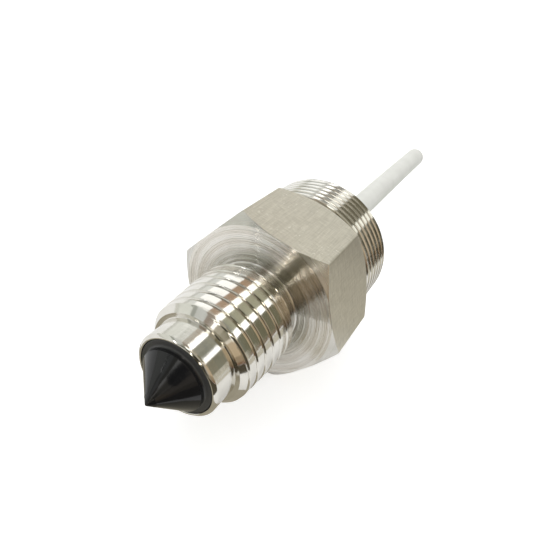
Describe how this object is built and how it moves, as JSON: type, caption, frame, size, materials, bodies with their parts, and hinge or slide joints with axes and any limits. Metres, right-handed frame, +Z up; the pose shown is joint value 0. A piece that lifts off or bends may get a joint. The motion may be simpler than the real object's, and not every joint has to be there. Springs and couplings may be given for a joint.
{
  "type": "photoelectric liquid level sensor",
  "caption": "Optical liquid level sensor in a turned stainless housing with a conical prism, a hexagon, a coarse front thread, a fine rear thread and a cut cable.",
  "frame": {"origin": "middle of the box round the rigid parts (the free cable left out), on the surface that the hexagon's lower flat rests on", "axes": "+X along the sensor's axis towards the prism's tip, +Z up from the flat that the sensor lies on, +Y across a pair of the hexagon's corners"},
  "size_m": [0.1205, 0.0312, 0.027],
  "materials": {
    "steel": "turned and brushed stainless steel",
    "prism_plastic": "glossy black moulded plastic",
    "seal_rubber": "matte",
    "holder_plastic": "matte black moulding",
    "led_resin": "clear bluish resin",
    "detector_resin": "dark daylight-blocking resin",
    "board_laminate": "green solder mask",
    "sleeve_plastic": "satin polyester tube",
    "chip_plastic": "moulded black epoxy",
    "ceramic_dark": "glazed film with tinned ends",
    "ceramic_pale": "tan ceramic with tinned ends",
    "capacitor_resin": "yellow moulded resin",
    "insulation_brown": "satin PVC",
    "insulation_blue": "satin PVC",
    "insulation_black": "satin PVC",
    "cable_jacket": "off-white satin PVC",
    "potting_resin": "cast black epoxy"
  },
  "bodies": {
    "root": {"housing": "steel", "prism": "prism_plastic", "prism_seal": "seal_rubber", "optics_holder": "holder_plastic", "infrared_led": "led_resin", "phototransistor": "detector_resin", "circuit_board": "board_laminate", "insulating_sleeve": "sleeve_plastic", "regulator": "chip_plastic", "comparator": "chip_plastic", "output_transistor": "chip_plastic", "led_resistor": "ceramic_dark", "load_resistor": "ceramic_dark", "feedback_resistor": "ceramic_dark", "supply_capacitor": "capacitor_resin", "filter_capacitor": "ceramic_pale", "polarity_diode": "chip_plastic", "core_brown": "insulation_brown", "core_blue": "insulation_blue", "core_black": "insulation_black", "cable_root": "cable_jacket", "potting": "potting_resin", "cable": "cable_jacket"}
  },
  "joints": []
}
